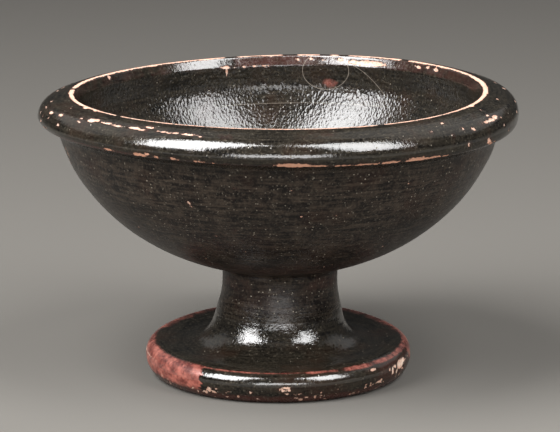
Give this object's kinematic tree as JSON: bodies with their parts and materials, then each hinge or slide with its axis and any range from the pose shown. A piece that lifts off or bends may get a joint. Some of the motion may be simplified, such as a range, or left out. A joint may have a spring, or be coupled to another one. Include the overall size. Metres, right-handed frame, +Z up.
{
  "type": "black-glazed stemmed bowl",
  "caption": "Shallow round bowl with a thick rounded rim, on a short stem and a hollow disc foot, turned as one body and glazed black.",
  "frame": {"origin": "middle of the foot's resting ring, on the surface that the bowl stands on", "axes": "+Z up along the axis that the bowl was turned about; the picture looks along +Y, with +X to its right"},
  "size_m": [0.16, 0.16, 0.0976],
  "materials": {
    "black_glaze": "glossy"
  },
  "bodies": {
    "root": {"footed_bowl": "black_glaze"}
  },
  "joints": []
}
